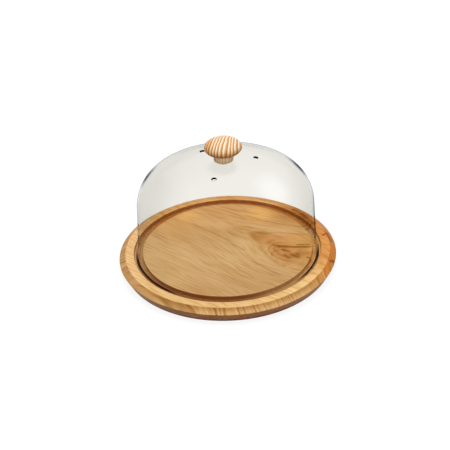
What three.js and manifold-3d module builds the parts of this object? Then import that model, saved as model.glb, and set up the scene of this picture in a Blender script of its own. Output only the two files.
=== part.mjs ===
// A cheese dish: a turned wooden board with a ring groove, and a clear dome that stands loose in it.
// Millimetres, +Z up. The origin is the centre of the board's flat underside.
import * as THREE from "three";
import { mergeVertices } from "three/addons/utils/BufferGeometryUtils.js";
import Module from "manifold-3d";

// Driving dimensions of the board
const boardRadius = 150;
const boardThickness = 20;
const undersideRadius = 143;
const widestHeight = 14;
const rimOuterRadius = 141.2;
const grooveOuterRadius = 129.4;
const platformRadius = 117;
const grooveDepth = 6;
const grooveFillet = 2;
const boardEdgeRounding = 0.8;

// Driving dimensions of the dome, outside sizes
const domeWall = 2.5;
const domeFootRadius = 123.7;
const domeShoulderRadius = 119;
const domeShoulderHeight = 94.4;
const knuckleRadius = 50.6;
const crownRadius = 225;
const landRadius = 13;
const footLipReach = 3;
const footLipHeight = 4;
const footLipRounding = 1.4;
const ventDiameter = 6;
const ventDrillReach = 8;
const ventPlaces = [
  { angle: -107, radius: 46 },
  { angle: 13, radius: 44 },
  { angle: 127.5, radius: 46.5 },
];
const screwHoleDiameter = 5.2;

// Driving dimensions of the knob
const knobHeadRadius = 24.7;
const knobHeadHeight = 173.8;
const knobHeadRise = 12.3;
const knobHeadDrop = 10.4;
const knobNeckRadius = 13.2;
const knobNeckRounding = 1.4;
const knobWaistRadius = 12.7;
const knobNeckFlare = 1.5;

// Driving dimensions of the fastening
const washerRadius = 7;
const washerThickness = 1;
const screwHeadRadius = 3.8;
const screwHeadHeight = 1.7;
const screwHeadRounding = 1.3;
const screwShankRadius = 2.1;
const screwLength = 20;
const screwCoreRadius = 1.5;
const screwTipLength = 3;
const threadRadius = 2.2;
const threadPitch = 2;
const threadTurns = 5;
const recessLength = 4;
const recessWidth = 0.9;
const recessDepth = 1.2;

// Fineness of the round forms, and the gap that cut pieces keep to their neighbours
const boardSides = 80;
const domeSides = 64;
const knobSides = 40;
const smallSides = 20;
const roundingSteps = 2;
const arcSteps = 3;
const knobSteps = 4;
const threadSides = 5;
const threadSteps = 10;
const fitGap = 0.3;
const weldTolerance = 1e-4;

// Heights that follow from the driving dimensions
const grooveFloor = boardThickness - grooveDepth;
const dome = domeArcs();
const landHeight = dome.crownCentre + Math.sqrt(crownRadius ** 2 - landRadius ** 2);
const washerTop = landHeight - domeWall;
const screwSeat = washerTop - washerThickness;

const wasm = await Module();
wasm.setup();

// The dome's wall leans in from foot to shoulder. The knuckle arc is tangent to the wall and the crown.
function domeArcs() {
  const lean = Math.atan2(domeFootRadius - domeShoulderRadius, domeShoulderHeight - grooveFloor);
  const knuckle = new THREE.Vector2(
    domeShoulderRadius - knuckleRadius * Math.cos(lean),
    domeShoulderHeight - knuckleRadius * Math.sin(lean),
  );
  const reach = crownRadius - knuckleRadius;
  const crownCentre = knuckle.y - Math.sqrt(reach ** 2 - knuckle.x ** 2);
  const crownStart = Math.atan2(knuckle.y - crownCentre, knuckle.x);
  return { lean, knuckle, crownCentre, crownStart };
}

// Revolves a half outline (x is the radius, y the height) about +Z
function turned(outline, sides) {
  const geometry = new THREE.LatheGeometry(outline, sides);
  return geometry.rotateX(Math.PI / 2);
}

function solidOf(geometry) {
  const bare = geometry.clone();
  bare.deleteAttribute("normal");
  bare.deleteAttribute("uv");
  const merged = mergeVertices(bare, weldTolerance);
  const vertProperties = merged.attributes.position.array;
  const triVerts = new Uint32Array(merged.index.array);
  return new wasm.Manifold(new wasm.Mesh({ numProp: 3, vertProperties, triVerts }));
}

function geometryOf(solid) {
  const { vertProperties, triVerts } = solid.getMesh();
  const geometry = new THREE.BufferGeometry();
  geometry.setAttribute("position", new THREE.BufferAttribute(vertProperties, 3));
  geometry.setIndex(new THREE.BufferAttribute(triVerts, 1));
  return geometry;
}

function cut(geometry, tools) {
  const start = solidOf(geometry);
  const left = tools.reduce((body, tool) => body.subtract(solidOf(tool)), start);
  return geometryOf(left);
}

function joined(geometries) {
  const [first, ...others] = geometries.map(solidOf);
  return geometryOf(others.reduce((body, other) => body.add(other), first));
}

// A round bar that stands on +Z from one height to another
function bar(radius, bottom, top, sides) {
  const geometry = new THREE.CylinderGeometry(radius, radius, top - bottom, sides);
  return geometry.rotateX(Math.PI / 2).translate(0, 0, (bottom + top) / 2);
}

// Carries a path up to a corner and round it, taking the rounding off both of its sides
function roundCorner(path, corner, next, rounding) {
  const back = path.currentPoint.clone().sub(corner).setLength(rounding).add(corner);
  const ahead = next.clone().sub(corner).setLength(rounding).add(corner);
  path.lineTo(back.x, back.y);
  path.quadraticCurveTo(corner.x, corner.y, ahead.x, ahead.y);
}

// A path through corners given as [radius, height, rounding]. Its two ends stay sharp.
function corneredPath(corners) {
  const points = corners.map(([radius, height]) => new THREE.Vector2(radius, height));
  const path = new THREE.Path();
  path.moveTo(points[0].x, points[0].y);
  for (let index = 1; index < corners.length - 1; index += 1) {
    roundCorner(path, points[index], points[index + 1], corners[index][2]);
  }
  const end = points[points.length - 1];
  path.lineTo(end.x, end.y);
  return path;
}

// Underside, undercut, widest edge, bevel, flat rim, groove with filleted floor, platform
function baseBoard() {
  const path = corneredPath([
    [0, 0],
    [undersideRadius, 0, boardEdgeRounding],
    [boardRadius, widestHeight, boardEdgeRounding],
    [rimOuterRadius, boardThickness, boardEdgeRounding],
    [grooveOuterRadius, boardThickness, boardEdgeRounding],
    [grooveOuterRadius, grooveFloor, grooveFillet],
    [platformRadius, grooveFloor, grooveFillet],
    [platformRadius, boardThickness, boardEdgeRounding],
    [0, boardThickness],
  ]);
  return turned(path.getPoints(roundingSteps), boardSides);
}

// Outside from the foot lip up to the flat land, then the inside back down at one wall thickness
function domeOutline() {
  const { lean, knuckle, crownCentre, crownStart } = dome;
  const lipRadius = domeFootRadius + footLipReach;
  const lipTop = grooveFloor + footLipHeight;
  const innerFoot = domeFootRadius - domeWall / Math.cos(lean);
  const innerCrown = crownRadius - domeWall;
  const holeRadius = screwHoleDiameter / 2;
  const landAngle = Math.acos(landRadius / crownRadius);
  const innerLandAngle = Math.asin((washerTop - crownCentre) / innerCrown);
  const path = corneredPath([
    [innerFoot, grooveFloor],
    [lipRadius, grooveFloor, footLipRounding],
    [lipRadius, lipTop, footLipRounding],
    [domeFootRadius - footLipHeight * Math.tan(lean), lipTop],
  ]);
  path.absarc(knuckle.x, knuckle.y, knuckleRadius, lean, crownStart, false);
  path.absarc(0, crownCentre, crownRadius, crownStart, landAngle, false);
  path.lineTo(holeRadius, landHeight);
  path.lineTo(holeRadius, washerTop);
  path.absarc(0, crownCentre, innerCrown, innerLandAngle, crownStart, true);
  path.absarc(knuckle.x, knuckle.y, knuckleRadius - domeWall, crownStart, lean, true);
  path.lineTo(innerFoot, grooveFloor);
  return path.getPoints(arcSteps);
}

// A drill square to the crown's surface
function ventDrill(place) {
  const turn = THREE.MathUtils.degToRad(place.angle);
  const tilt = Math.asin(place.radius / crownRadius);
  const bottom = crownRadius - ventDrillReach;
  const drill = bar(ventDiameter / 2, bottom, crownRadius + ventDrillReach, smallSides);
  return drill.rotateY(tilt).rotateZ(turn).translate(0, 0, dome.crownCentre);
}

function domeShell() {
  return cut(turned(domeOutline(), domeSides), ventPlaces.map(ventDrill));
}

// Rounded foot on the dome's land, a short neck, and a head whose lower oval is flatter than its upper one
function knobOutline() {
  const joinRadius = knobWaistRadius + knobNeckFlare;
  const joinAngle = Math.asin(joinRadius / knobHeadRadius) - Math.PI / 2;
  const joinHeight = knobHeadHeight + knobHeadDrop * Math.sin(joinAngle);
  const path = corneredPath([
    [0, landHeight],
    [knobNeckRadius, landHeight, knobNeckRounding],
    [knobWaistRadius, joinHeight, knobNeckFlare],
    [joinRadius, joinHeight],
  ]);
  path.absellipse(0, knobHeadHeight, knobHeadRadius, knobHeadDrop, joinAngle, 0, false, 0);
  path.absellipse(0, knobHeadHeight, knobHeadRadius, knobHeadRise, 0, Math.PI / 2, false, 0);
  return path.getPoints(knobSteps);
}

function knob() {
  return cut(turned(knobOutline(), knobSides), screwShank(fitGap));
}

class ThreadHelix extends THREE.Curve {
  constructor(radius, bottom, pitch, turns) {
    super();
    Object.assign(this, { radius, bottom, pitch, turns });
  }

  getPoint(t, target = new THREE.Vector3()) {
    const turn = 2 * Math.PI * this.turns * t;
    const height = this.bottom + this.pitch * this.turns * t;
    return target.set(this.radius * Math.cos(turn), this.radius * Math.sin(turn), height);
  }
}

// Plain shank through the dome, then a pointed core with one round-backed thread.
// The same form, grown by a gap, cuts the knob's bore.
function screwShank(gap) {
  const tipHeight = screwSeat + screwLength;
  const coreTop = tipHeight - screwTipLength;
  const shankTop = landHeight - fitGap;
  const core = screwCoreRadius + gap;
  const profile = [
    new THREE.Vector2(0, screwSeat),
    new THREE.Vector2(screwShankRadius, screwSeat),
    new THREE.Vector2(screwShankRadius, shankTop),
    new THREE.Vector2(core, shankTop),
    new THREE.Vector2(core, coreTop + gap),
    new THREE.Vector2(0, tipHeight + gap),
  ];
  const ridge = threadRadius - screwCoreRadius + gap;
  const corner = (index) => (2 * Math.PI * index) / threadSides;
  const section = new THREE.Shape(
    Array.from(
      { length: threadSides },
      (_, index) => new THREE.Vector2(ridge * Math.cos(corner(index)), ridge * Math.sin(corner(index))),
    ),
  );
  const threadBottom = coreTop - threadTurns * threadPitch;
  const helix = new ThreadHelix(screwCoreRadius, threadBottom, threadPitch, threadTurns);
  const thread = new THREE.ExtrudeGeometry(section, {
    steps: threadTurns * threadSteps,
    extrudePath: helix,
    bevelEnabled: false,
  });
  return [turned(profile, smallSides), thread];
}

// Domed head below the washer, with a cross recess for the driver
function screwHead() {
  const bottom = screwSeat - screwHeadHeight;
  const path = corneredPath([
    [0, bottom],
    [screwHeadRadius, bottom, screwHeadRounding],
    [screwHeadRadius, screwSeat],
  ]);
  path.lineTo(0, screwSeat);
  const slot = () => new THREE.BoxGeometry(recessLength, recessWidth, 2 * recessDepth);
  const across = slot().translate(0, 0, bottom);
  const along = slot().rotateZ(Math.PI / 2).translate(0, 0, bottom);
  return cut(turned(path.getPoints(arcSteps), smallSides), [across, along]);
}

function knobScrew() {
  return joined([screwHead(), ...screwShank(0)]);
}

function screwWasher() {
  const hole = screwHoleDiameter / 2;
  const outline = [
    new THREE.Vector2(hole, screwSeat),
    new THREE.Vector2(washerRadius, screwSeat),
    new THREE.Vector2(washerRadius, washerTop),
    new THREE.Vector2(hole, washerTop),
    new THREE.Vector2(hole, screwSeat),
  ];
  return turned(outline, smallSides);
}

function honeyWood() {
  return new THREE.MeshStandardMaterial({ color: 0xcfa26c, roughness: 0.5, metalness: 0 });
}

function clearPlastic() {
  return new THREE.MeshStandardMaterial({
    color: 0xeef0ee,
    roughness: 0.05,
    metalness: 0,
    transparent: true,
    opacity: 0.2,
  });
}

function stripedSoftwood() {
  return new THREE.MeshStandardMaterial({ color: 0xe3b98a, roughness: 0.45, metalness: 0 });
}

function zincPlatedSteel() {
  return new THREE.MeshStandardMaterial({ color: 0xb8babd, roughness: 0.3, metalness: 1 });
}

function namedMesh(name, geometry, material) {
  const mesh = new THREE.Mesh(geometry, material);
  mesh.name = name;
  return mesh;
}

// The dome, knob, screw and washer lift off the board as one
const lid = new THREE.Group();
lid.add(namedMesh("dome", domeShell(), clearPlastic()));
lid.add(namedMesh("knob", knob(), stripedSoftwood()));
lid.add(namedMesh("knob_screw", knobScrew(), zincPlatedSteel()));
lid.add(namedMesh("screw_washer", screwWasher(), zincPlatedSteel()));

const cheeseDish = new THREE.Group();
cheeseDish.add(namedMesh("base_board", baseBoard(), honeyWood()));
cheeseDish.add(lid);

export default cheeseDish;
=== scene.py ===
import math

import bmesh
import bpy
import numpy as np
from mathutils import Matrix, Vector


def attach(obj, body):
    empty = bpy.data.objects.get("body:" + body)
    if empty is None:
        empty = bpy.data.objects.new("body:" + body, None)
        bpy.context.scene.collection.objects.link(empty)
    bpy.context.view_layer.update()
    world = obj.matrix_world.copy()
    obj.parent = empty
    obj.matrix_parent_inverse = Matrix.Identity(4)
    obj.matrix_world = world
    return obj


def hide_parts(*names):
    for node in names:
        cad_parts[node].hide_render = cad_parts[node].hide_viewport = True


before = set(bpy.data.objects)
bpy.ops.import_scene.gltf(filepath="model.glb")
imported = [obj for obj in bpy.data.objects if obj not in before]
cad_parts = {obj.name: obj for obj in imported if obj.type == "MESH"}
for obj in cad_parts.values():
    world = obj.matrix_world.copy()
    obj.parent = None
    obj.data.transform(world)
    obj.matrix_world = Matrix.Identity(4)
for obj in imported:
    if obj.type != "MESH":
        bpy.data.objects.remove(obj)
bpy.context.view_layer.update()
mm = 0.001
surfaceGap = 0.02  # millimetres, keeps two faces that touch from lying in one plane
mergeDistance = 1e-6  # metres, points closer than this become one
sharpAngle = 35  # degrees, edges that bend more than this stay sharp

scene = bpy.context.scene
scene.view_settings.view_transform = "Standard"


def linked(name, data):
    piece = bpy.data.objects.new(name, data)
    scene.collection.objects.link(piece)
    return piece


# Where the picture was taken from. The image is square.
viewpoint = {
    "elevation": 31.57,  # degrees above the table
    "roll": -2.60,  # degrees, the dish leans a little to the left
    "distance": 1.3067,  # metres to the aim point
    "aim": (-0.00198, 0.0, 0.05522),
    "focalPixels": 956.8,
    "imagePixels": 450,
    "farthest": 100,  # metres
}


def photoCamera(view):
    lift = math.radians(view["elevation"])
    roll = math.radians(view["roll"])
    right = Vector((1, 0, 0))
    up = Vector((0, math.sin(lift), math.cos(lift)))
    back = Vector((0, -math.cos(lift), math.sin(lift)))
    camera = linked("photo_camera", bpy.data.cameras.new("photo_camera"))
    sideways = math.cos(roll) * right + math.sin(roll) * up
    upwards = math.cos(roll) * up - math.sin(roll) * right
    turn = Matrix((sideways, upwards, back)).transposed().to_4x4()
    place = Vector(view["aim"]) + view["distance"] * back
    camera.matrix_world = Matrix.Translation(place) @ turn
    camera.data.lens = camera.data.sensor_width * view["focalPixels"] / view["imagePixels"]
    camera.data.clip_end = view["farthest"]
    scene.camera = camera


photoCamera(viewpoint)
print("camera placed")


# Outlines are arrays of (radius, height) in millimetres, walked so that the material lies on the left
def arcPoints(centre, radii, start, end, steps):
    # An ellipse's arc: centre + (a cos t, b sin t), t from start to end in radians
    turn = np.linspace(start, end, steps + 1)
    return np.stack([centre[0] + radii[0] * np.cos(turn), centre[1] + radii[1] * np.sin(turn)], 1)


def roundedOutline(corners, steps=8):
    # Straight runs between corners (radius, height, rounding). Each inner corner is a quadratic curve
    # whose ends lie one rounding from the tip: (1-t)^2 a + 2t(1-t) tip + t^2 b.
    tips = np.array([corner[:2] for corner in corners], float)
    share = np.linspace(0, 1, steps + 1)[:, None]
    runs = [tips[:1]]
    for index in range(1, len(tips) - 1):
        tip = tips[index]
        arrive = tips[index - 1] - tip
        leave = tips[index + 1] - tip
        first = tip + arrive * corners[index][2] / np.linalg.norm(arrive)
        last = tip + leave * corners[index][2] / np.linalg.norm(leave)
        runs.append((1 - share) ** 2 * first + 2 * share * (1 - share) * tip + share**2 * last)
    runs.append(tips[-1:])
    return np.concatenate(runs)


def evened(outline, longest):
    # Splits every run that is longer than this into equal parts
    lengths = np.linalg.norm(np.diff(outline, axis=0), axis=1)
    parts = np.maximum(1, np.ceil(lengths / longest)).astype(int)
    starts = np.concatenate([[0], np.cumsum(parts)])
    return np.stack([np.interp(np.arange(starts[-1] + 1), starts, column) for column in outline.T], 1)


def gridPiece(name, points):
    # points[i, j] is row i along the outline and column j round the axis. Columns wrap round.
    rows, columns = points.shape[:2]
    index = np.arange(rows * columns).reshape(rows, columns)
    beside = np.roll(index, -1, axis=1)
    quads = np.stack([index[:-1], beside[:-1], beside[1:], index[1:]], -1).reshape(-1, 4)
    mesh = bpy.data.meshes.new(name)
    mesh.from_pydata(points.reshape(-1, 3).tolist(), [], quads.tolist())
    closed = bmesh.new()
    closed.from_mesh(mesh)
    bmesh.ops.remove_doubles(closed, verts=closed.verts, dist=mergeDistance)  # closes poles and seams
    closed.to_mesh(mesh)
    closed.free()
    smoothed(mesh)
    return linked(name, mesh)


def smoothed(mesh):
    mesh.polygons.foreach_set("use_smooth", np.ones(len(mesh.polygons), bool))
    mesh.set_sharp_from_angle(angle=math.radians(sharpAngle))
    mesh.update()


def turnedPiece(name, outline, sides):
    # Every outline point goes once round the axis: (r cos t, r sin t, z)
    turn = np.linspace(0, 2 * np.pi, sides, endpoint=False)
    radius, height = outline.T * mm
    outwards = np.stack([np.cos(turn), np.sin(turn), np.zeros(sides)], 1)
    points = radius[:, None, None] * outwards + height[:, None, None] * np.array([0, 0, 1.0])
    return gridPiece(name, points)


def cutAway(piece, tool):
    # Takes the tool's volume off the piece and throws the tool away
    cut = piece.modifiers.new("cut", "BOOLEAN")
    cut.object = tool
    cut.solver = "EXACT"
    whole = bpy.data.meshes.new_from_object(piece.evaluated_get(bpy.context.evaluated_depsgraph_get()))
    piece.modifiers.clear()
    piece.data = whole
    bpy.data.objects.remove(tool)


# Short ways to write shader nodes, which go into the tree that was begun last. A value may be a number,
# a colour or another node's socket.
canvas = {}


def begin(tree):
    tree.nodes.clear()
    canvas["tree"] = tree


def feed(socket, value):
    if isinstance(value, bpy.types.NodeSocket):
        canvas["tree"].links.new(value, socket)
    else:
        socket.default_value = value


def put(kind, inputs, **settings):
    node = canvas["tree"].nodes.new(kind)
    for name, value in settings.items():
        setattr(node, name, value)
    for name, value in inputs.items():
        feed(node.inputs[name], value)
    return node


def calc(operation, *values, clamp=False):
    inputs = dict(enumerate(values))
    return put("ShaderNodeMath", inputs, operation=operation, use_clamp=clamp).outputs[0]


def chained(operation, values):
    result = values[0]
    for value in values[1:]:
        result = calc(operation, result, value)
    return result


def times(*values):
    return chained("MULTIPLY", values)


def total(*values):
    return chained("ADD", values)


def highest(*values):
    return chained("MAXIMUM", values)


def minus(first, second):
    return calc("SUBTRACT", first, second)


def scaled(value, gain, offset):
    return calc("MULTIPLY_ADD", value, gain, offset)


def ramp(value, start, end, low=0.0, high=1.0):
    # Goes softly from low to high while the value goes from start to end
    inputs = {"Value": value, "From Min": start, "From Max": end, "To Min": low, "To Max": high}
    return put("ShaderNodeMapRange", inputs, interpolation_type="SMOOTHSTEP").outputs["Result"]


def within(value, low, high, soft):
    # 1 between two values, fading out over a soft edge on both sides
    return times(ramp(value, low - soft, low + soft), ramp(value, high + soft, high - soft))


def blend(factor, first, second, mode="MIX"):
    inputs = {0: factor, 6: first, 7: second}  # the colour sockets of the Mix node
    return put("ShaderNodeMix", inputs, data_type="RGBA", blend_type=mode).outputs[2]


def noiseValue(vector, scale, detail=2.0, roughness=0.5):
    inputs = {"Vector": vector, "Scale": scale, "Detail": detail, "Roughness": roughness}
    return put("ShaderNodeTexNoise", inputs).outputs["Fac"]


def sway(vector, scale, reach, detail=2.0):
    # A slow noise from -reach to reach
    return scaled(noiseValue(vector, scale, detail), 2 * reach, -reach)


def vectorOf(x, y, z):
    return put("ShaderNodeCombineXYZ", {"X": x, "Y": y, "Z": z}).outputs[0]


def axesOf(vector):
    return put("ShaderNodeSeparateXYZ", {"Vector": vector}).outputs


def vectorCalc(operation, first, second=(0, 0, 0)):
    node = put("ShaderNodeVectorMath", {0: first, 1: second}, operation=operation)
    return node.outputs["Value" if operation == "LENGTH" else "Vector"]


def distanceTo(place, point):
    return vectorCalc("LENGTH", vectorCalc("SUBTRACT", place, point))


def axisDistance(axes):
    return vectorCalc("LENGTH", vectorOf(axes["X"], axes["Y"], 0.0))


def turnedAxes(x, y, cosine, sine):
    # Distances along a direction and across it
    along = scaled(x, cosine, times(y, sine))
    return along, minus(times(y, cosine), times(x, sine))


def millimetres():
    place = put("ShaderNodeTexCoord", {}).outputs["Object"]
    return put("ShaderNodeVectorMath", {"Vector": place, "Scale": 1 / mm}, operation="SCALE").outputs[0]


def colour(red, green, blue):
    # A colour as seen on screen (0 to 255) in the linear values that a shader takes
    share = np.array([red, green, blue]) / 255
    linear = np.where(share <= 0.04045, share / 12.92, ((share + 0.055) / 1.055) ** 2.4)
    return (*linear.tolist(), 1.0)


def newMaterial(name):
    material = bpy.data.materials.new(name)
    material.use_nodes = True
    begin(material.node_tree)
    return material


def showShader(shader):
    put("ShaderNodeOutputMaterial", {"Surface": shader.outputs[0]})


def showFinish(look, base, rough, relief):
    # One Principled surface with a fine relief
    bumps = {"Height": relief, "Strength": look["relief"], "Distance": look["reliefDepth"]}
    inputs = {
        "Base Color": base,
        "Metallic": look["metal"],
        "Roughness": scaled(rough, *look["roughness"]),
        "Specular IOR Level": look["gloss"],
        "Normal": put("ShaderNodeBump", bumps).outputs[0],
    }
    showShader(put("ShaderNodeBsdfPrincipled", inputs))


def newGroup(name, takes, gives):
    group = bpy.data.node_groups.new(name, "ShaderNodeTree")
    for way, labels in (("INPUT", takes), ("OUTPUT", gives)):
        for label in labels:
            group.interface.new_socket(label, in_out=way, socket_type="NodeSocketFloat")
    begin(group)
    return group, put("NodeGroupInput", {}).outputs, put("NodeGroupOutput", {}).inputs


def grouped(group, inputs):
    return put("ShaderNodeGroup", inputs, node_tree=group).outputs


# Tones are laid over a colour one by one. A tone is the name of a tint and its zones, of which the
# strongest counts. A zone is a strength and ramps over named values: name, from, to and, if not 0 to 1,
# what they reach.
def stain(strength, tint, base):
    # Takes light away as oil and age do: each channel of the base times tint ^ strength
    kept = vectorOf(*[calc("POWER", channel, strength) for channel in tint])
    return blend(1.0, base, kept, "MULTIPLY")


def laid(mask, tint, base):
    # A tint of three values stains the base and a colour of four covers it
    return stain(mask, tint, base) if len(tint) == 3 else blend(mask, base, tint)


def band(name, low, high, soft):
    # The two ramps of a zone that lies between two values
    return (name, low - soft, low + soft), (name, high + soft, high - soft)


def zoneMask(values, zone):
    strength, *ramps = zone
    return times(*[ramp(values[name], *run) for name, *run in ramps], strength)


def toned(look, values, tones, base):
    for name, *zones in tones:
        mask = highest(*[zoneMask(values, zone) for zone in zones])
        base = laid(mask, look[name], base)
    return base


# Wood fibres, for both kinds of wood. Along runs with the grain, Across and Depth over it, in millimetres.
fibreLook = {  # share of the length that counts along the grain, noise scale, detail, roughness
    "streak": (0.035, 0.9, 4.0, 0.6),
    "fleck": (0.12, 1.6, 1.0, 0.5),
    "dash": (0.075, 0.42, 2.0, 0.5),
    "fleckRange": (0.62, 0.74),
    "dashRange": (0.46, 0.64),
}


def fibreGroup(look):
    group, given, made = newGroup("wood_fibres", ["Along", "Across", "Depth"], ["Streak", "Fleck", "Dash"])
    noises = {}
    for name in ("streak", "fleck", "dash"):
        shrink, *noise = look[name]
        place = vectorOf(times(given["Along"], shrink), given["Across"], given["Depth"])
        noises[name] = noiseValue(place, *noise)
    feed(made["Streak"], noises["streak"])
    feed(made["Fleck"], ramp(noises["fleck"], *look["fleckRange"]))
    feed(made["Dash"], ramp(noises["dash"], *look["dashRange"]))
    return group


# One dark mark in the wood: a soft bowed stroke of a length and width, turned by an angle
def markGroup():
    takes = ["X", "Y", "CentreX", "CentreY", "Cosine", "Sine", "HalfLength", "HalfWidth", "Bow"]
    group, given, made = newGroup("wood_mark", takes, ["Mark"])
    x = minus(given["X"], given["CentreX"])
    y = minus(given["Y"], given["CentreY"])
    along, across = turnedAxes(x, y, given["Cosine"], given["Sine"])
    bent = minus(across, times(along, along, given["Bow"]))
    share = calc("DIVIDE", bent, given["HalfWidth"])
    bell = calc("EXPONENT", times(share, share, -1.0))
    reach = calc("DIVIDE", calc("ABSOLUTE", along), given["HalfLength"])
    feed(made["Mark"], times(bell, ramp(reach, 1.0, 0.55)))  # fades out at both ends
    return group


fibres = fibreGroup(fibreLook)
woodMark = markGroup()

# The board: one turned disc of honey-coloured wood
boardLook = {
    "radius": 150.0,
    "thickness": 20.0,
    "underside": 143.0,
    "widest": 14.0,  # height of the widest edge
    "rimOuter": 141.2,
    "grooveOuter": 129.4,
    "platform": 117.0,
    "grooveDepth": 6.0,
    "fillet": 2.0,
    "softEdge": 0.8,
    "cornerSteps": 6,
    "longestRun": 6.0,
    "sides": 360,
    "grainAngle": -40.0,  # degrees, which way the grain runs on the face
    "ringWidth": 5.5,
    "ringStretch": 0.25,  # share of the length that counts along the grain
    "ringRise": (0.25, 0.9),  # shares of a ring between which it darkens, and ends
    "ringEnd": (1, 0.93),
    "ringDashes": (0.8, 0.2),  # gain and offset of the fibres in a ring's line
    "ringSway": (0.011, 8),  # scale and reach of a noise, here and in what follows
    "widthSway": (0.045, 0.5),
    "wedgeSway": (0.07, 5),
    "markSway": (0.09, 2),
    "patchNoise": 0.017,  # rings are strong in some places and weak in others
    "patchRange": (0.35, 0.65, 0.08, 0.28),
    "broadNoise": 0.035,
    "broadRange": (0.3, 0.7),
    "streakShade": (0.26, 0.87),
    "fleckShade": 0.12,
    "dashShade": (-1, 0, 0.15, 0.24),  # weaker on the face than on the rim
    "endStretch": 0.02,
    "endNoises": {"strokes": (0.42, 3), "pores": (0.19, 2)},
    "fleckNoise": (0.17, 1),
    "endCover": 0.82,
    "dip": -0.85,  # how far the rings move across the grain per millimetre of height
    "knot": (84, -18),
    "knotReach": 38.0,  # how far the rings bend round the knot
    "knotSquash": 0.7,  # the knot is longer along the grain
    "knotArc": 7.0,  # ring width inside the knot
    "knotUneven": 12.0,
    "knotNoise": 0.06,
    "tailNoise": 0.17,
    "tailStretch": 0.12,
    "wedgeTip": (31, 34),  # a warm wedge opens to the right of this point
    "wedgeLean": 0.28,  # how its left side leans and bows, and how its upper side falls
    "wedgeBow": 0.0019,
    "wedgeFall": 0.165,
    "light": colour(248, 205, 150),
    "dark": colour(236, 189, 131),
    "orange": colour(232, 160, 84),
    "ringLine": colour(186, 126, 66),
    "knotBrown": colour(188, 120, 58),
    "stain": (0.5, 0.33, 0.13),  # how a dark mark of strength 1 colours the wood
    "strokeStain": (0.46, 0.36, 0.21),  # the same for end grain
    "endGrain": colour(198, 146, 88),
    "warmEnd": colour(206, 122, 30),
    "warmEndRange": (92, 138),  # from here to there towards the right
    # colours of the painted shade in the groove, partly darker end grain, more orange at the back
    "groove": colour(158, 88, 44),
    "grooveBack": colour(204, 104, 26),
    "grooveBackRange": (10, 70),
    # painted shade on the undercut, which faces down, partly its darker end grain
    "undercut": colour(160, 80, 14),
    "paleRim": colour(255, 214, 150),
    "glow": colour(255, 200, 124),
    "deepRim": colour(214, 134, 52),
    "metal": 0.0,
    "gloss": 0.12,
    "roughness": (0.18, 0.36),  # gain and offset of the fibres
    # painted shade on the groove's inner wall all round
    "wallShade": 0.2,
    "relief": 0.25,
    "reliefDepth": 0.0003,  # metres
}

# Where the board's tones lie, in the order that they are laid. The name of a size of the board stands for
# the distance outwards, or upwards, from there.
onRim = ("grooveOuter", -0.4, 0.6)
onEdge = ("rimOuter", -0.3, 0.5)
undercutZone = ("widest", 0.4, -0.4)
boardTones = {
    "face": [
        ("orange", (0.68, ("wedgeSide", -5, 14), ("wedgeTop", -7, 9), ("wedgeDown", 100, 62))),
        ("paleRim", (0.3, ("x", -30, -100))),
        # painted shade: the face darker towards the front
        ("ringLine", (0.18, ("y", -30, -100))),
        ("orange", (0.3, ("y", 10, 85))),
        # painted light: the face lighter at the right, where the dome's wall greys it
        ("glow", (0.65, ("x", 70, 112), ("y", 45, 15))),
    ],
    "rim": [
        (
            "deepRim",
            (1, onRim, ("x", 70, 125), ("y", -105, -62), ("y", 0, 30, 0.55, 0.8)),
            (0.25, onRim, ("y", 60, 115)),
        ),
        # painted highlight on the front of the rim
        ("paleRim", (1, onRim, ("y", -30, -115), ("x", 10, 60, 0.6, 0.95))),
        # painted highlight along the rim's inner edge at the back right
        ("glow", (0.9, *band("grooveOuter", 0.9, 3.4, 0.5), ("y", 45, 90), ("x", 88, 62))),
        # painted highlights along the groove's edges in front, and painted light in the groove at the front
        # right
        ("paleRim", (0.6, *band("grooveOuter", -0.3, 1.6, 0.3), ("y", -30, -75))),
        ("paleRim", (0.8, *band("grooveOuter", -3.6, 0, 0.4), ("x", 20, 60), ("y", -30, -65))),
        ("stain", (0.28, *band("platform", -1.8, 0.2, 0.4), ("y", 30, 80))),
        # painted highlight along the platform's edge in front
        ("paleRim", (0.6, *band("platform", -1.3, -0.6, 0.3), ("y", -20, -75))),
    ],
    "knot": [
        ("knotBrown", (0.24, ("knotAway", 40, 4))),
        (
            "stain",
            (0.3, ("knotArcs", 0.3, 0.9), ("knotArcs", 1, 0.9), ("knotAway", 34, 18), ("knotRight", 6, -14)),
            (0.2, ("knotTails", 0.5, 0.68), ("knotRight", -12, 8), *band("knotUp", -21, 21, 9)),
        ),
    ],
    "edge": [
        ("paleRim", (0.25, onEdge, ("pores", 0.5, 0.66))),
        # painted highlight along the bevel's lower edge in front
        ("paleRim", (0.4, onEdge, ("z", 18, 14.6), ("y", -40, -85), *band("x", -92, 108, 16))),
        ("stain", (0.2, onEdge, ("z", 17, 19), ("y", -60, -110))),
        # painted shade on the undercut, partly its darker end grain
        ("undercut", (0.8, onEdge, undercutZone)),
        # painted contact shadow towards the bottom of the undercut
        ("stain", (0.9, onEdge, ("z", 8, 1))),
        ("endGrain", (0.4, onEdge, undercutZone, ("flecks", 0.5, 0.66))),
        ("strokeStain", (1, onEdge, ("strokes", 0.46, 0.62), ("x", 10, 60, 0.6, 0.38))),
    ],
}

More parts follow.
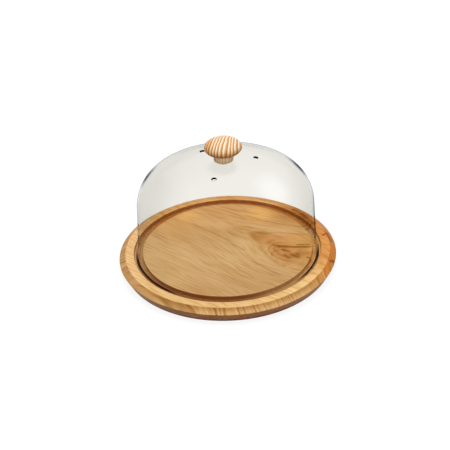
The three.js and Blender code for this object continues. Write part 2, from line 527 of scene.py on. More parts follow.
# Painted shade in the groove, partly its darker end grain: the inner wall most in front, with the floor
# beside it, the outer one most at the back
grooveShadeZones = {
    "front": (0.7, ("y", -5, -112), ("x", 10, 65, 1, 0.35)),
    "back": (1, ("y", 55, 100, 0.1, 0.62)),
    "left": (0.32, ("x", -60, -115)),
    "wall": (1, *band("platform", -0.6, 1, 0.4)),
    "floor": (1, ("platform", 0.3, 1.3), ("grooveOuter", -0.5, -1.5)),
    "outer": (0.48, *band("grooveOuter", -1.4, 0.6, 0.4), ("y", -70, 30)),
    "below": (1, ("thickness", -0.1, -1.2)),
}

# Soft round spots on the face: x, y, reach and strength
boardSpots = {
    "glow": [(52, 86, 32, 0.95), (-58, 88, 26, 0.8)],
    "paleRim": [(18, -24, 62, 0.3), (38, -16, 34, 0.45), (-72, -78, 34, 0.35)],
    "stain": [
        (100, 82, 52, 0.34),
        (-84, 84, 30, 0.12),
        (-70, 52, 46, 0.12),
        (-4, 106, 44, 0.09),
        (20, 42, 36, 0.14),
        (44, 26, 20, 0.3),
    ],
}

# Dark marks that show from a step away: centre x, y, angle in degrees, length, width, bow, strength
boardMarks = [
    # in and round the knot
    (69.2, -3.4, -26, 18, 2.6, 0, 0.6),
    (76.5, -6.5, -5, 18, 2.8, 0, 1),
    (95, -8.2, -4, 48, 2.2, 0, 0.95),
    (105, -3, -4, 24, 1.4, 0, 0.8),
    (66.6, -15.8, 39, 15, 1.5, -0.01, 0.35),
    (79.5, -16.5, -32, 17, 1.9, 0, 0.85),
    (80, -30.8, -57, 16, 2.8, 0, 0.6),
    (90.4, -30, -44, 22, 2.6, 0, 0.6),
    (95.4, -27.8, -59, 11, 1.8, 0, 0.45),
    (60, -25, -89, 14, 1.4, 0, 0.3),
    (52.7, -20.6, -82, 12, 1.4, 0, 0.25),
    (74, -53, -24, 9, 2, 0, 0.3),
    (108.9, -36.3, -36, 8, 1.6, 0, 0.8),
    # on the rim and the groove at the right
    (118.6, 47.6, 28, 28, 2.4, 0, 0.7),
    (117, 56, 28, 20, 2.6, 0, 0.5),
    (138.2, 22.3, 40, 15, 1.6, 0, 1.2),
    (142, 15.5, -78, 32, 1.7, 0, 1.2),
    (141, -42.6, 28, 13, 1.7, 0, 1.1),
    (102.7, 87.4, -49, 20, 3, 0, 0.7),
    (113, 72.3, -61, 26, 3.2, 0, 0.95),
    (121.7, 57.6, -57, 17, 2.8, 0, 0.6),
    (102.2, 99, -55, 30, 1.8, 0, 0.8),
    (105.7, 56.3, -68, 22, 2.2, 0, 0.4),
    # long lines on the platform
    (80, 52, -22, 80, 1.2, 0.002, 0.35),
    (43, 72, -35, 45, 1.1, 0, 0.3),
    (47, 32, -7, 46, 3.2, 0, 0.3),
    (80, 28.5, -12, 90, 1.3, 0, 0.35),
    (39.5, 18.5, -68, 46, 4.4, 0, 0.3),
    (48.5, -12.5, -73, 44, 3, 0, 0.2),
    (61.5, -40, -55, 40, 2.4, 0, 0.18),
    (-20, 36, -43, 96, 1.9, 0.001, 0.25),
    (15, -2.5, -47, 30, 1.8, 0, 0.28),
    (8, 101, -29, 44, 1.4, 0, 0.3),
    (50, -57, -46, 64, 1.3, 0.001, 0.35),
    (22, -67, -50, 48, 1.3, 0, 0.25),
]


def ringField(look, axes, place):
    # Straight rings across the grain, t, that part before the knot and join behind it: with r the distance
    # to the knot, t becomes t * (r^2 / (r^2 + reach^2))^2
    angle = math.radians(look["grainAngle"])
    cosine, sine = math.cos(angle), math.sin(angle)
    knotX, knotY = look["knot"]
    along, across = turnedAxes(axes["X"], axes["Y"], cosine, sine)
    offset = total(across, sway(place, *look["ringSway"]), knotX * sine - knotY * cosine)
    ahead = times(minus(along, knotX * cosine + knotY * sine), look["knotSquash"])
    square = scaled(ahead, ahead, times(offset, offset))
    share = calc("DIVIDE", square, total(square, look["knotReach"] ** 2))
    return along, times(offset, share, share), calc("SQRT", square)


def knotValues(look, axes, place, away):
    # For the warm cloud round the knot, arcs on its left and brown streaks that leave it to the right
    uneven = times(noiseValue(place, look["knotNoise"]), look["knotUneven"])
    drawnOut = vectorOf(times(axes["X"], look["tailStretch"]), axes["Y"], axes["Z"])
    return {
        "knotAway": away,
        "knotArcs": calc("FRACT", times(total(away, uneven), 1 / look["knotArc"])),
        "knotTails": noiseValue(drawnOut, look["tailNoise"]),
        "knotRight": minus(axes["X"], look["knot"][0]),
        "knotUp": minus(axes["Y"], look["knot"][1]),
    }


def wedgeValues(look, axes, place):
    # The wedge lies right of a bowed line that falls from its tip, and below one that leaves it to the right
    uneven = sway(place, *look["wedgeSway"])
    rightward = total(axes["X"], uneven, -look["wedgeTip"][0])
    down = total(minus(look["wedgeTip"][1], axes["Y"]), uneven)
    bowed = times(down, scaled(down, look["wedgeBow"], look["wedgeLean"]))
    return {
        "wedgeSide": minus(rightward, bowed),
        "wedgeTop": scaled(rightward, -look["wedgeFall"], down),
        "wedgeDown": down,
    }


def spotMask(place, height, spots):
    # The strongest of some soft round spots
    masks = []
    for x, y, reach, strength in spots:
        masks.append(ramp(distanceTo(place, (x, y, height)), reach, reach / 4, 0.0, strength))
    return highest(*masks)


def markMask(look, axes, place):
    # All single marks in one mask. They wander a little, as fibres do.
    wandered = total(axes["Y"], sway(place, *look["markSway"]))
    marks = []
    for x, y, angle, length, width, bow, depth in boardMarks:
        turn = math.radians(angle)
        inputs = {"X": axes["X"], "Y": wandered, "CentreX": x, "CentreY": y}
        inputs |= {"Cosine": math.cos(turn), "Sine": math.sin(turn)}
        inputs |= {"HalfLength": length / 2, "HalfWidth": width, "Bow": bow}
        marks.append(times(grouped(woodMark, inputs)["Mark"], depth))
    return highest(*marks)


def paintedGrooveShade(look, values):
    # Painted shade in the groove, partly its darker end grain
    oil = {name: zoneMask(values, zone) for name, zone in grooveShadeZones.items()}
    wall = times(oil["wall"], total(oil["front"], look["wallShade"]))
    floor = times(oil["floor"], total(oil["front"], oil["back"], oil["left"]))
    return times(highest(wall, floor, oil["outer"]), oil["below"])


def boardWood(look):
    material = newMaterial("honey_wood")
    place = millimetres()
    axes = axesOf(place)
    along, parted, knotAway = ringField(look, axes, place)
    ringPlace = scaled(axes["Z"], look["dip"], parted)
    radius = axisDistance(axes)
    values = {"x": axes["X"], "y": axes["Y"], "z": axes["Z"]}
    for name in ("platform", "grooveOuter", "rimOuter"):
        values[name] = minus(radius, look[name])
    for name in ("widest", "thickness"):
        values[name] = minus(axes["Z"], look[name])
    values |= wedgeValues(look, axes, place)
    values |= knotValues(look, axes, place, knotAway)

    # Growth rings: a slow darkening to a thin late line, of uneven width and strength
    stretched = vectorOf(times(along, look["ringStretch"]), ringPlace, 0.0)
    rings = scaled(ringPlace, 1 / look["ringWidth"], sway(stretched, *look["widthSway"]))
    rings = calc("FRACT", rings)
    late = times(ramp(rings, *look["ringRise"]), ramp(rings, *look["ringEnd"]))
    patchy = ramp(noiseValue(place, look["patchNoise"]), *look["patchRange"])
    grain = grouped(fibres, {"Along": along, "Across": ringPlace, "Depth": axes["Z"]})
    lateLine = times(late, patchy, scaled(grain["Dash"], *look["ringDashes"]))

    # The face, from broad tones to fine fibres
    broad = ramp(noiseValue(stretched, look["broadNoise"]), *look["broadRange"])
    base = blend(broad, look["dark"], look["light"])
    # The face's tones include painted shade towards the front and painted light at the right
    base = toned(look, values, boardTones["face"], base)
    for name, spots in boardSpots.items():
        base = laid(spotMask(place, look["thickness"], spots), look[name], base)
    base = blend(lateLine, base, look["ringLine"])
    streak = scaled(grain["Streak"], *look["streakShade"])
    base = blend(1.0, base, vectorOf(streak, streak, streak), "MULTIPLY")
    base = blend(times(grain["Fleck"], look["fleckShade"]), base, look["ringLine"])

    # The rim is deepest at the right and the back, and palest in front by a painted highlight
    base = toned(look, values, boardTones["rim"], base)
    dashes = times(grain["Dash"], ramp(values["grooveOuter"], *look["dashShade"]))
    base = stain(dashes, look["stain"], base)
    base = toned(look, values, boardTones["knot"], base)

    # End grain on the bevel and the undercut: darker, with uneven strokes where rings run out
    ends = vectorOf(times(along, look["endStretch"]), ringPlace, 0.0)
    for name, noise in look["endNoises"].items():
        values[name] = noiseValue(ends, *noise)
    values["flecks"] = noiseValue(place, *look["fleckNoise"])
    endColour = blend(ramp(axes["X"], *look["warmEndRange"]), look["endGrain"], look["warmEnd"])
    base = blend(zoneMask(values, (look["endCover"], onEdge)), base, endColour)
    base = toned(look, values, boardTones["edge"], base)
    base = stain(markMask(look, axes, place), look["stain"], base)

    # Painted shade in the groove, partly its darker end grain
    shadedGrooveColour = blend(ramp(axes["Y"], *look["grooveBackRange"]), look["groove"], look["grooveBack"])
    base = blend(paintedGrooveShade(look, values), base, shadedGrooveColour)
    relief = scaled(late, -0.5, times(grain["Streak"], 0.6))  # late wood lies lower
    showFinish(look, base, grain["Streak"], relief)
    return material


def woodenBoard(look):
    top = look["thickness"]
    floor = top - look["grooveDepth"]
    soft = look["softEdge"]
    corners = [
        (0, 0),
        (look["underside"], 0, soft),
        (look["radius"], look["widest"], soft),
        (look["rimOuter"], top, soft),
        (look["grooveOuter"], top, soft),
        (look["grooveOuter"], floor, look["fillet"]),
        (look["platform"], floor, look["fillet"]),
        (look["platform"], top, soft),
        (0, top),
    ]
    outline = evened(roundedOutline(corners, look["cornerSteps"]), look["longestRun"])
    board = turnedPiece("wooden_board", outline, look["sides"])
    board.data.materials.append(boardWood(look))
    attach(board, "board")
    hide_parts("base_board")


woodenBoard(boardLook)
print("board turned")


# The dome: a clear plastic shell, drilled three times near the crown
domeLook = {
    "wall": 2.5,
    "foot": 123.7,  # radius where the wall meets the groove floor
    "footHeight": 14.0,
    "shoulder": 119.0,
    "shoulderHeight": 94.4,
    "knuckle": 50.6,
    "crown": 225.0,
    "land": 13.0,  # flat under the knob
    "screwHole": 2.6,
    "lipReach": 3.0,
    "lipHeight": 4.0,
    "lipRounding": 1.4,
    "ventRadius": 3.0,
    "drillReach": 8.0,
    "drillSides": 48,
    "vents": [(-107, 46), (13, 44), (127.5, 46.5)],  # angle in degrees, distance from the axis
    "knuckleSteps": 32,
    "crownSteps": 24,
    "longestRun": 12.0,
    "sides": 512,
    "shade": (0.885, 0.877, 0.86, 1),  # light that a lamp sends through one face
    "refraction": 1.0015,  # low, so that the board shows undistorted through the thin shell
    "gloss": 0.05,
    "clear": (0.953, 0.949, 0.933, 1),  # what one face lets through, seen square on
    "slantRange": (0.3, 0.62),
    "wallGrey": (0.9, 0.895, 0.876, 1),  # the same at a slant, a painted reflection of the room
    "crownGrey": (0.931, 0.927, 0.912, 1),
    "crownRange": (90, 130),  # heights between which the wall's grey gives way to the crown's
    "leftRange": (50, -90),  # from the right to the left side
    "leftGrey": (0.991, 0.991, 0.989, 1),  # the left side is greyer by this, a painted reflection of a darker room on the left
    "leftTurn": 0.12,  # and greys sooner
    "bright": (0.998, 0.998, 0.994, 1),  # a painted highlight low at the back
    "brightAt": (68, 94, 50),
    "brightRange": (40, 8),
    "underKnob": (0.84, 0.83, 0.8, 1),  # painted reflection of the knob in the crown
    "paintedKnobReflectionAt": (-1.5, -18, 150),
    "paintedKnobReflectionRange": (25, 13),
    "edgeGrey": (0.84, 0.845, 0.845, 1),  # the outline, a painted reflection
    "crownEdge": (0.7, 0.71, 0.71, 1),
    "crownEdgeRange": (112, 124),
    "edgeRange": (0.7, 0.88),
    "edgeLine": (0.45, 0.47, 0.51, 1),
    "edgeDark": (0.12, 0.125, 0.165, 1),  # a painted dark reflection along a slanting band at the shoulder, lower at the left
    "darkBand": (133.5, 152, 12),  # from, to and softness
    "darkSlant": 0.61,
    "darkDrop": 5.0,
    "darkRange": (0.68, 0.84),
    "darkInset": (0.83, 0.91, 0.7),  # at the left it fades by this much before the outline
    # a painted dark line along the lip, for the groove's shade and the lip's refraction
    "footDark": (0.05, 0.075, 0.17, 1),
    "holeRingShadeRange": (0.85, 0.35),  # how far the painted dark ring round a drilled hole reaches, shade on its rough edge
    "holeRingShade": (0.06, 0.06, 0.06, 1),
    # painted shade inside a hole's wall
    "holeBlack": colour(12, 12, 14),
    "holeClear": (0.97, 0.97, 0.97, 1),
}

# Zones of the painted lines on the outer skin, as for the board: the outline's painted reflection and the
# lip's painted dark line. Facing is 0 square on and 1 at the outline.
domeLines = {
    "outline": [
        (1, ("facing", 0.9, 0.98), ("x", 50, -90, 1, 0.45)),
        (1, ("facing", 0.78, 0.9), ("z", 112, 96), ("x", 50, -90, 0.95, 0.4)),
    ],
    "lip": [(1, *band("lipTop", -1.0, 0.5, 0.25), ("y", 15, -25))],
    "lipSides": [(1, ("x", 82, 104)), (1, ("x", -60, -84))],
    "lipWidth": [(1, ("foot", 2.8, 2.0)), (1, ("y", -60, -30))],
}


def domeArcs(look):
    # The knuckle arc touches the leaning wall and the crown arc
    lean = math.atan2(look["foot"] - look["shoulder"], look["shoulderHeight"] - look["footHeight"])
    outwards = np.array([math.cos(lean), math.sin(lean)])
    knuckle = np.array([look["shoulder"], look["shoulderHeight"]]) - look["knuckle"] * outwards
    reach = look["crown"] - look["knuckle"]
    crownCentre = knuckle[1] - math.sqrt(reach**2 - knuckle[0] ** 2)
    crownStart = math.atan2(knuckle[1] - crownCentre, knuckle[0])
    return lean, knuckle, crownCentre, crownStart


def landHeight(look):
    return domeArcs(look)[2] + math.sqrt(look["crown"] ** 2 - look["land"] ** 2)


def domeOutline(look):
    lean, knuckle, crownCentre, crownStart = domeArcs(look)
    floor = look["footHeight"]
    lip = look["foot"] + look["lipReach"]
    lipTop = floor + look["lipHeight"]
    innerFoot = look["foot"] - look["wall"] / math.cos(lean)
    landTop = landHeight(look)
    landBottom = landTop - look["wall"]
    inner = look["crown"] - look["wall"]
    small = look["knuckle"] - look["wall"]
    landAngle = math.acos(look["land"] / look["crown"])
    innerLand = math.asin((landBottom - crownCentre) / inner)
    knuckleSteps, crownSteps = look["knuckleSteps"], look["crownSteps"]
    corners = [
        (innerFoot, floor),
        (lip, floor, look["lipRounding"]),
        (lip, lipTop, look["lipRounding"]),
        (look["foot"] - look["lipHeight"] * math.tan(lean), lipTop),
    ]
    runs = [
        roundedOutline(corners),
        arcPoints(knuckle, (look["knuckle"],) * 2, lean, crownStart, knuckleSteps),
        arcPoints((0, crownCentre), (look["crown"],) * 2, crownStart, landAngle, crownSteps)[1:],
        [(look["screwHole"], landTop), (look["screwHole"], landBottom)],
        arcPoints((0, crownCentre), (inner,) * 2, innerLand, crownStart, crownSteps),
        arcPoints(knuckle, (small,) * 2, crownStart, lean, knuckleSteps)[1:],
        [(innerFoot, floor)],
    ]
    return np.concatenate(runs)


def ventDrills(look):
    # Direction of each hole, square to the crown, and the point that all of them start from
    turns, reach = np.array(look["vents"]).T
    turns = np.radians(turns)
    spread = reach / look["crown"]
    away = np.stack([spread * np.cos(turns), spread * np.sin(turns), np.sqrt(1 - spread**2)], 1)
    return np.array([0, 0, domeArcs(look)[2]]), away


def perFace(mesh, what):
    flat = np.empty(len(mesh.polygons) * 3, np.float32)
    mesh.polygons.foreach_get(what, flat)
    return flat.reshape(-1, 3)


def drilled(piece, look):
    # Cuts round holes: a bar along each direction is taken off. Then every face gets its material:
    # 0 outside, 1 in the holes, 2 inside.
    start, away = ventDrills(look)
    low, high = look["crown"] - look["drillReach"], look["crown"] + look["drillReach"]
    radius = look["ventRadius"]
    for direction in away:
        outline = np.array([(0, low), (radius, low), (radius, high), (0, high)])
        bar = turnedPiece("drill", outline, look["drillSides"])
        turn = Vector((0, 0, 1)).rotation_difference(Vector(direction)).to_matrix().to_4x4()
        bar.data.transform(Matrix.Translation(Vector(start) * mm) @ turn)
        cutAway(piece, bar)
    mesh = piece.data
    centres, normals = perFace(mesh, "center") / mm, perFace(mesh, "normal")
    offset = centres - start
    onWall = np.zeros(len(mesh.polygons), bool)
    margin, slant = 1.05, 0.3  # a hole's faces are this close to its axis, in radii, and nearly along it
    for direction in away:
        along = offset @ direction
        across = np.linalg.norm(offset - along[:, None] * direction, axis=1)
        onWall |= (across < radius * margin) & (along > 0) & (np.abs(normals @ direction) < slant)
    outwards = ((centres - (0, 0, look["footHeight"])) * normals).sum(1) > 0
    slots = np.where(onWall, 1, np.where(outwards, 0, 2))
    mesh.polygons.foreach_set("material_index", slots.astype(np.int32))
    smoothed(mesh)


def ventDistance(look, place):
    # How far a point is from the nearest hole's axis: the length of (point - start) x direction
    start, away = ventDrills(look)
    offset = vectorCalc("SUBTRACT", place, start.tolist())
    nearest = look["crown"]
    for direction in away.tolist():
        across = vectorCalc("LENGTH", vectorCalc("CROSS_PRODUCT", offset, direction))
        nearest = calc("MINIMUM", across, nearest)
    return nearest


def outerTrim(look, place, axes, facing, leftward, grey):
    # On the outer skin: a greyer outline and a dark band at the shoulder, both painted reflection, a painted
    # dark line of shade and refraction along the lip at both sides of the foot, and painted shade in rings
    # round the holes' rough edges
    height = axes["Z"]
    values = {"x": axes["X"], "y": axes["Y"], "z": height, "facing": facing}
    values["foot"] = minus(axisDistance(axes), look["foot"])
    values["lipTop"] = minus(height, look["footHeight"] + look["lipHeight"])
    masks = {}
    for name, zones in domeLines.items():
        masks[name] = highest(*[zoneMask(values, zone) for zone in zones])

    edge = blend(ramp(height, *look["crownEdgeRange"]), look["edgeGrey"], look["crownEdge"])
    grey = blend(ramp(facing, *look["edgeRange"]), grey, edge)
    grey = blend(masks["outline"], grey, look["edgeLine"])

    slanting = scaled(axes["Y"], look["darkSlant"], height)
    slanting = scaled(leftward, look["darkDrop"], slanting)
    shoulder = within(slanting, *look["darkBand"])
    *insetRange, fade = look["darkInset"]
    inset = scaled(times(leftward, ramp(facing, *insetRange)), -fade, 1.0)
    dark = times(ramp(facing, *look["darkRange"]), shoulder, inset)
    grey = blend(dark, grey, look["edgeDark"])

    behind = put("ShaderNodeNewGeometry", {}).outputs["Backfacing"]
    lip = times(masks["lip"], masks["lipSides"], masks["lipWidth"], minus(1.0, behind))
    # painted dark line along the lip
    grey = blend(lip, grey, look["footDark"])
    beyond = minus(ventDistance(look, place), look["ventRadius"])
    # painted shade in a ring round each hole's rough edge
    return blend(ramp(beyond, *look["holeRingShadeRange"]), grey, look["holeRingShade"])


def clearPlastic(look, name, outer):
    # Clear where a face is seen square on and greyer where it is seen at a slant, sooner on the left:
    # painted reflection of the room.
    # Lamps shine straight through.
    material = newMaterial(name)
    place = millimetres()
    axes = axesOf(place)
    facing = put("ShaderNodeLayerWeight", {"Blend": 0.5}).outputs["Facing"]
    leftward = ramp(axes["X"], *look["leftRange"])
    slant = ramp(scaled(leftward, look["leftTurn"], facing), *look["slantRange"])
    grey = blend(ramp(axes["Z"], *look["crownRange"]), look["wallGrey"], look["crownGrey"])
    grey = blend(slant, look["clear"], grey)
    grey = blend(times(leftward, slant), grey, look["leftGrey"], "MULTIPLY")
    # painted highlight low at the back
    bright = ramp(distanceTo(place, look["brightAt"]), *look["brightRange"])
    grey = blend(bright, grey, look["bright"])
    if outer:
        # painted reflection of the knob in the crown
        paintedKnobReflection = ramp(distanceTo(place, look["paintedKnobReflectionAt"]), *look["paintedKnobReflectionRange"])
        grey = blend(paintedKnobReflection, grey, look["underKnob"], "DARKEN")
        grey = outerTrim(look, place, axes, facing, leftward, grey)
    inputs = {
        "Base Color": blend(1.0, grey, grey, "MULTIPLY"),  # a face lets the colour's root through
        "Roughness": 0.0,
        "IOR": look["refraction"],
        "Specular IOR Level": look["gloss"],
        "Transmission Weight": 1.0,
    }
    glass = put("ShaderNodeBsdfPrincipled", inputs)
    through = put("ShaderNodeBsdfTransparent", {"Color": look["shade"]})
    path = put("ShaderNodeLightPath", {}).outputs
    lamps = highest(path["Is Shadow Ray"], path["Is Diffuse Ray"])
    showShader(mixed(lamps, glass, through))
    return material


def mixed(factor, first, second):
    inputs = {0: factor, 1: first.outputs[0], 2: second.outputs[0]}
    return put("ShaderNodeMixShader", inputs)


def drilledEdge(look):
    # Painted shade inside the hole, where the drilled wall loses its light; clear from behind
    material = newMaterial("drilled_edge")
    inputs = {"Base Color": look["holeBlack"], "Roughness": 0.8, "Specular IOR Level": 0.1}
    dark = put("ShaderNodeBsdfPrincipled", inputs)
    clear = put("ShaderNodeBsdfTransparent", {"Color": look["holeClear"]})
    behind = put("ShaderNodeNewGeometry", {}).outputs["Backfacing"]
    showShader(mixed(behind, dark, clear))
    return material


def clearDome(look):
    dome = turnedPiece("clear_dome", evened(domeOutline(look), look["longestRun"]), look["sides"])
    dome.data.materials.append(clearPlastic(look, "clear_plastic", True))
    dome.data.materials.append(drilledEdge(look))
    dome.data.materials.append(clearPlastic(look, "clear_plastic_inside", False))
    drilled(dome, look)
    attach(dome, "lid")
    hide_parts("dome")
    return dome


dome = clearDome(domeLook)
print("dome moulded and drilled,", len(dome.data.polygons), "faces")


# The knob: striped softwood on the dome's land, with a blind bore for its screw
knobLook = {
    "head": 24.7,
    "headHeight": 173.8,  # where the head is widest
    "rise": 12.3,
    "drop": 10.4,
    "neck": 13.2,
    "neckRounding": 1.4,
    "waist": 12.7,
    "flare": 1.5,
    "bore": 2.55,
    "boreTop": 172.4,
    "dropSteps": 24,
    "riseSteps": 32,
    "sides": 192,
    "stripe": 4.0,  # ring width over most of the knob
    "leftStripe": 4.5,
    "leftFrom": -12.0,
    "neckStripe": 3.1,
    "neckShare": (0.2, 0.45),  # shares of a stripe between which it darkens
    "earlyRise": (0.2, 0.42),
    "earlyEnd": (1, 0.9),
    "lateRise": (0.4, 0.75),
    "lateEnd": (1, 0.88),
    "lateStreaks": (0.6, 0.5),  # gain and offset of the fibres
    "wander": (0.06, 1.5),  # scale and reach of a noise
    "uneven": (0.16, 1.5, 0),  # the same and its detail
    "unevenRow": 40.0,  # where in the noise the stripes take it from
    "lean": 0.235,
    "bend": 0.002,
    "fan": 0.008,  # stripes lean more at the left than at the right
    "cream": colour(248, 240, 220),
    "tan": colour(236, 184, 126),
    "amber": colour(198, 118, 36),
    "darkening": (0.74, 0.46, 0.15),  # painted shade under the head and at the foot of the neck, partly warmer end grain, and darker at the left
    "underShadeRange": (5, -5),  # heights from where the head is widest, over which the painted shade under it grows
    "fadeRange": (4, 11, 1, 0.88),  # the stripes are a little paler at the top
    "leftDarkening": (-10, -24, 0, 0.6),
    "neckFootShade": (6, 0, 0, 0.45),  # heights above the dome over which the painted shade at the neck's foot fades
    "neckJoin": 3.0,
    # the neck's paler colours are painted light against the head's shadow
    "neckPale": colour(255, 238, 212),
    "neckBrown": colour(238, 186, 132),
    "metal": 0.0,
    "gloss": 0.2,
    "roughness": (0.2, 0.32),
    "relief": 0.2,
    "reliefDepth": 0.0002,  # metres
}


def knobOutline(look):
    base = landHeight(domeLook) + surfaceGap
    join = look["waist"] + look["flare"]
    joinAngle = math.asin(join / look["head"]) - math.pi / 2
    joinHeight = look["headHeight"] + look["drop"] * math.sin(joinAngle)
    centre = (0, look["headHeight"])
    corners = [
        (look["bore"], base),
        (look["neck"], base, look["neckRounding"]),
        (look["waist"], joinHeight, look["flare"]),
        (join, joinHeight),
    ]
    runs = [
        [(0, look["boreTop"]), (look["bore"], look["boreTop"] - look["bore"])],
        roundedOutline(corners)[:-1],
        arcPoints(centre, (look["head"], look["drop"]), joinAngle, 0, look["dropSteps"]),
        arcPoints(centre, (look["head"], look["rise"]), 0, math.pi / 2, look["riseSteps"])[1:],
    ]
    return np.concatenate(runs)


def stripedSoftwood(look):
    # Upright rings that run from front to back, bend to the right at the back and lie wider at the left
    material = newMaterial("striped_softwood")
    place = millimetres()
    axes = axesOf(place)
    lean = scaled(axes["X"], look["fan"], scaled(axes["Y"], -look["bend"], -look["lean"]))
    across = scaled(axes["Y"], lean, axes["X"])
    across = total(across, sway(place, *look["wander"]))
    across = total(across, sway(vectorOf(across, look["unevenRow"], 0.0), *look["uneven"]))
    leftward = highest(minus(look["leftFrom"], across), 0.0)
    phase = times(across, 1 / look["stripe"])
    phase = scaled(leftward, 1 / look["stripe"] - 1 / look["leftStripe"], phase)
    rings = calc("FRACT", phase)
    early = times(ramp(rings, *look["earlyRise"]), ramp(rings, *look["earlyEnd"]))
    late = times(ramp(rings, *look["lateRise"]), ramp(rings, *look["lateEnd"]))
    grain = grouped(fibres, {"Along": axes["Y"], "Across": across, "Depth": axes["Z"]})
    strength = calc("MULTIPLY_ADD", grain["Streak"], *look["lateStreaks"], clamp=True)

    # The head, with painted shade below and darker at the left
    above = minus(axes["Z"], look["headHeight"])
    base = blend(early, look["cream"], look["tan"])
    base = blend(times(late, strength, ramp(above, *look["fadeRange"])), base, look["amber"])
    darkening = highest(ramp(above, *look["underShadeRange"]), ramp(axes["X"], *look["leftDarkening"]))
    base = stain(darkening, look["darkening"], base)

    # The neck, with finer stripes, in paler colours as painted light against the head's shadow
    fine = calc("PINGPONG", across, look["neckStripe"] / 2)
    fine = ramp(fine, *[share * look["neckStripe"] for share in look["neckShare"]])
    neck = blend(fine, look["neckPale"], look["neckBrown"])
    aboveDome = minus(axes["Z"], landHeight(domeLook))
    # painted shade at the foot of the neck, where it meets the dome
    neck = stain(ramp(aboveDome, *look["neckFootShade"]), look["darkening"], neck)
    head = ramp(above, -look["drop"], look["neckJoin"] - look["drop"])
    relief = scaled(late, 0.5, times(grain["Streak"], 0.5))  # late wood stands out
    showFinish(look, blend(head, neck, base), grain["Streak"], relief)
    return material


def stripedKnob(look):
    knob = turnedPiece("striped_knob", knobOutline(look), look["sides"])
    knob.data.materials.append(stripedSoftwood(look))
    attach(knob, "lid")
    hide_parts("knob")


stripedKnob(knobLook)
print("knob turned")


# What holds the knob on: a wood screw and its washer, seen only from inside the dome
fasteningLook = {
    "washer": 7.0,
    "washerHole": 2.6,
    "washerThickness": 1.0,
    "washerRounding": 0.2,
    "washerSteps": 4,
    "head": 3.8,
    "headHeight": 1.7,
    "headRounding": 1.3,
    "shank": 2.1,
    "shankGap": 0.3,  # the plain shank ends this far below the knob
    "length": 20.0,
    "core": 1.5,
    "coreRun": 0.1,
    "tip": 3.0,
    "thread": 2.2,
    "pitch": 2.0,
    "turns": 5,
    "crossLength": 4.0,
    "crossWidth": 0.9,
    "crossDepth": 1.2,
    "sides": 96,
    "bright": colour(206, 208, 212),
    "dull": colour(168, 170, 172),
    "cloudNoise": (0.6, 3.0),
    "cloudRange": (0.35, 0.7),
    "turningNoise": 9.0,
    "metal": 1.0,
    "gloss": 0.5,
    "roughness": (0.2, 0.24),  # gain and offset of the clouds
    "relief": 0.15,
    "reliefDepth": 0.0001,  # metres
}


def platedSteel(look):
    # Bright plating with dull clouds and fine turning marks round the axis
    material = newMaterial("plated_steel")
    place = millimetres()
    axes = axesOf(place)
    clouds = ramp(noiseValue(place, *look["cloudNoise"]), *look["cloudRange"])
    turning = noiseValue(vectorOf(axisDistance(axes), 0.0, axes["Z"]), look["turningNoise"])
    showFinish(look, blend(clouds, look["bright"], look["dull"]), clouds, turning)
    return material


def screwPoints(look, seat):
    # A turned outline whose core carries one round thread: at a distance d along the axis from the helix,
    # the radius is core + sqrt(ridge^2 - d^2)
    bottom = seat - look["headHeight"]
    tipHeight = seat + look["length"]
    coreTop = tipHeight - look["tip"]
    shankTop = landHeight(domeLook) - look["shankGap"]
    corners = [(0, bottom), (look["head"], bottom, look["headRounding"]), (look["head"], seat)]
    head = roundedOutline(corners)
    shank = [(look["shank"], seat), (look["shank"], shankTop)]
    core = np.array([(look["core"], shankTop), (look["core"], coreTop), (0, tipHeight)])
    outline = np.concatenate([head, shank, evened(core, look["coreRun"])])
    turn = np.linspace(0, 2 * np.pi, look["sides"], endpoint=False)
    radius = np.repeat(outline[:, :1], look["sides"], axis=1)
    height = np.repeat(outline[:, 1:], look["sides"], axis=1)
    threadBottom = coreTop - look["turns"] * look["pitch"]
    lap = (height - threadBottom) / look["pitch"] - turn / (2 * np.pi)
    away = (lap - np.round(lap)) * look["pitch"]
    fade = np.clip(height - threadBottom, 0, 1) * np.clip(coreTop - height, 0, 1)
    ridge = (look["thread"] - look["core"]) * fade
    radius = radius + np.sqrt(np.clip(ridge**2 - away**2, 0, None))
    return np.stack([radius * np.cos(turn), radius * np.sin(turn), height], 2) * mm


def barPiece(name, size, centre):
    # A plain box, used as a cutter
    corners = np.array([(x, y, z) for x in (-1, 1) for y in (-1, 1) for z in (-1, 1)])
    faces = [(0, 1, 3, 2), (4, 6, 7, 5), (0, 4, 5, 1), (2, 3, 7, 6), (0, 2, 6, 4), (1, 5, 7, 3)]
    mesh = bpy.data.meshes.new(name)
    mesh.from_pydata(((corners * size / 2 + centre) * mm).tolist(), [], faces)
    return linked(name, mesh)


def knobFastening(look):
    steel = platedSteel(look)
    washerTop = landHeight(domeLook) - domeLook["wall"]
    seat = washerTop - look["washerThickness"]
    screw = gridPiece("wood_screw", screwPoints(look, seat - surfaceGap))
    bottom = np.array([0, 0, seat - surfaceGap - look["headHeight"]])
    crossSize = np.array([look["crossLength"], look["crossWidth"], 2 * look["crossDepth"]])
    cutAway(screw, barPiece("slot", crossSize, bottom))
    cutAway(screw, barPiece("slot", crossSize[[1, 0, 2]], bottom))
    smoothed(screw.data)
    corners = [
        (look["washerHole"], seat),
        (look["washer"], seat, look["washerRounding"]),
        (look["washer"], washerTop - surfaceGap, look["washerRounding"]),
        (look["washerHole"], washerTop - surfaceGap),
    ]
    ring = roundedOutline(corners, look["washerSteps"])
    washer = turnedPiece("flat_washer", np.concatenate([ring, ring[:1]]), look["sides"])
    for piece, node in ((screw, "knob_screw"), (washer, "screw_washer")):
        piece.data.materials.clear()
        piece.data.materials.append(steel)
        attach(piece, "lid")
        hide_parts(node)


knobFastening(fasteningLook)
print("screw and washer made")


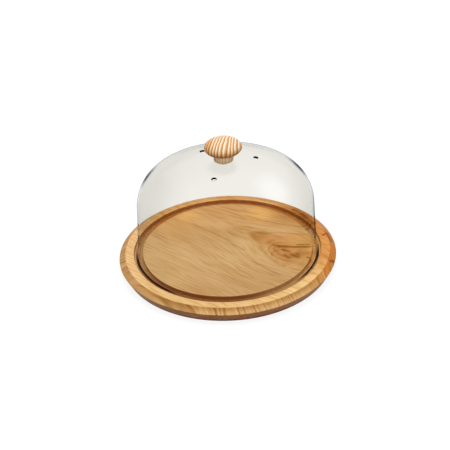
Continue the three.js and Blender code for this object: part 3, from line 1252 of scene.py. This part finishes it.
# White table, pale surroundings and soft light from above, in metres
studioLook = {
    "tableHalf": 12.0,
    "tableDrop": 0.0002,  # the table lies this far below the board
    "tableGlow": 0.86,
    "tableColour": (0.2, 0.2, 0.2, 1),
    "lamps": {  # size, place and power
        "overhead_softbox": (1.6, (0.0, 0.35, 1.7), 25.0),
        "front_softbox": (1.0, (0.2, -1.6, 0.75), 9.0),
    },
    "zenith": (0.2, 0.2, 0.2, 1),
    "horizon": (1.0, 1.0, 1.0, 1),
    "skyRange": (0.05, 0.8),  # how far up the horizon's white gives way
    "fill": (0.32, 0.32, 0.32, 1),
}


def seenRays():
    # 1 for rays that show what is behind the dish: straight ones, mirrored ones and those through the dome
    path = put("ShaderNodeLightPath", {}).outputs
    return highest(path["Is Camera Ray"], path["Is Glossy Ray"], path["Is Transmission Ray"])


def whiteTable(look):
    half = look["tableHalf"]
    corners = [(-half, -half), (half, -half), (half, half), (-half, half)]
    mesh = bpy.data.meshes.new("table")
    mesh.from_pydata([(x, y, -look["tableDrop"]) for x, y in corners], [], [(0, 1, 2, 3)])
    table = linked("table", mesh)
    material = newMaterial("white_table")
    matt = put("ShaderNodeBsdfDiffuse", {"Color": look["tableColour"]})
    glow = put("ShaderNodeEmission", {"Strength": look["tableGlow"]})
    lit = put("ShaderNodeAddShader", {0: matt.outputs[0], 1: glow.outputs[0]})
    showShader(mixed(seenRays(), matt, lit))
    mesh.materials.append(material)


def paleSurroundings(look):
    world = bpy.data.worlds.new("pale_surroundings")
    world.use_nodes = True
    scene.world = world
    begin(world.node_tree)
    direction = put("ShaderNodeTexCoord", {}).outputs["Generated"]
    climb = ramp(axesOf(direction)["Z"], *look["skyRange"])
    sky = blend(climb, look["horizon"], look["zenith"])
    shown = put("ShaderNodeBackground", {"Color": sky})
    fill = put("ShaderNodeBackground", {"Color": look["fill"]})
    put("ShaderNodeOutputWorld", {"Surface": mixed(seenRays(), fill, shown).outputs[0]})


def softLamp(name, size, place, power):
    lamp = bpy.data.lights.new(name, "AREA")
    lamp.size = size
    lamp.energy = power
    softbox = linked(name, lamp)
    softbox.location = place
    softbox.rotation_mode = "QUATERNION"
    softbox.rotation_quaternion = (-Vector(place)).to_track_quat("-Z", "Y")
    softbox.visible_glossy = False
    softbox.visible_transmission = False


whiteTable(studioLook)
paleSurroundings(studioLook)
for name, lamp in studioLook["lamps"].items():
    softLamp(name, *lamp)
print("studio lit")
